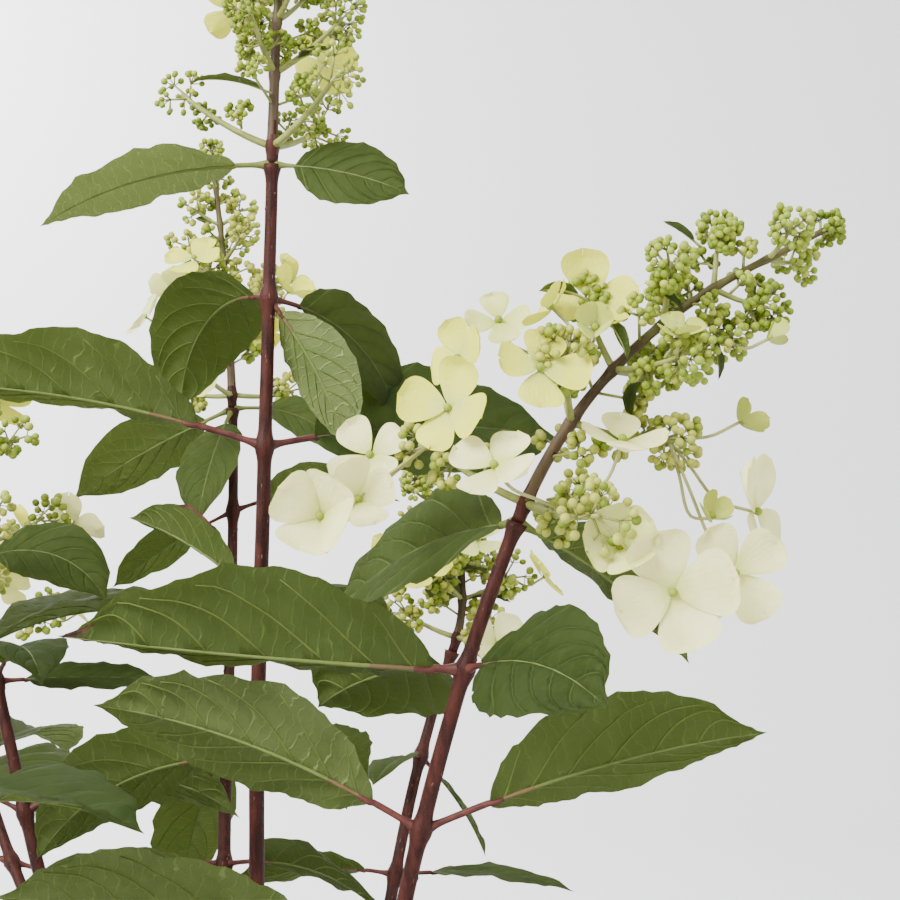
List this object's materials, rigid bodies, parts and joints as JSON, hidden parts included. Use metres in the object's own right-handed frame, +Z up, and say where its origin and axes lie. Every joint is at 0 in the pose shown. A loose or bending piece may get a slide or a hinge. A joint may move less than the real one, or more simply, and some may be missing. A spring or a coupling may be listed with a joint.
{
  "type": "potted panicle hydrangea",
  "caption": "Young panicle hydrangea in a round nursery pot: woody crown, upright and leaning canes, toothed leaves, cone-shaped heads of buds and pale four-petalled florets.",
  "frame": {"origin": "middle of the pot's flat underside, on the floor", "axes": "+Z up along the pot's axis; the side that the picture shows faces -Y, and the leaning flower head points towards +X"},
  "size_m": [0.4301, 0.4293, 0.715],
  "materials": {
    "pot": "matte",
    "soil": "matte",
    "crown_bark": "matte",
    "cane_bark": "satin",
    "leaves": "satin",
    "flowers": "matte"
  },
  "bodies": {
    "root": {"cane_back_centre": "cane_bark", "cane_back_left": "cane_bark", "cane_back_right": "cane_bark", "cane_centre": "cane_bark", "cane_far_left": "cane_bark", "cane_front_left": "cane_bark", "cane_front_low": "cane_bark", "cane_front_right": "cane_bark", "cane_left_back": "cane_bark", "cane_right_back": "cane_bark", "cane_right_low": "cane_bark", "flower_head_back_centre": "flowers", "flower_head_back_left": "flowers", "flower_head_back_right": "flowers", "flower_head_centre": "flowers", "flower_head_far_left": "flowers", "flower_head_front_left": "flowers", "flower_head_front_right": "flowers", "flower_head_left_back": "flowers", "flower_head_right_low": "flowers", "foliage_back_centre": "leaves", "foliage_back_left": "leaves", "foliage_back_right": "leaves", "foliage_centre": "leaves", "foliage_far_left": "leaves", "foliage_front_left": "leaves", "foliage_front_low": "leaves", "foliage_front_right": "leaves", "foliage_left_back": "leaves", "foliage_right_back": "leaves", "foliage_right_low": "leaves", "pot": "pot", "potting_soil": "soil", "root_crown": "crown_bark"}
  },
  "joints": []
}
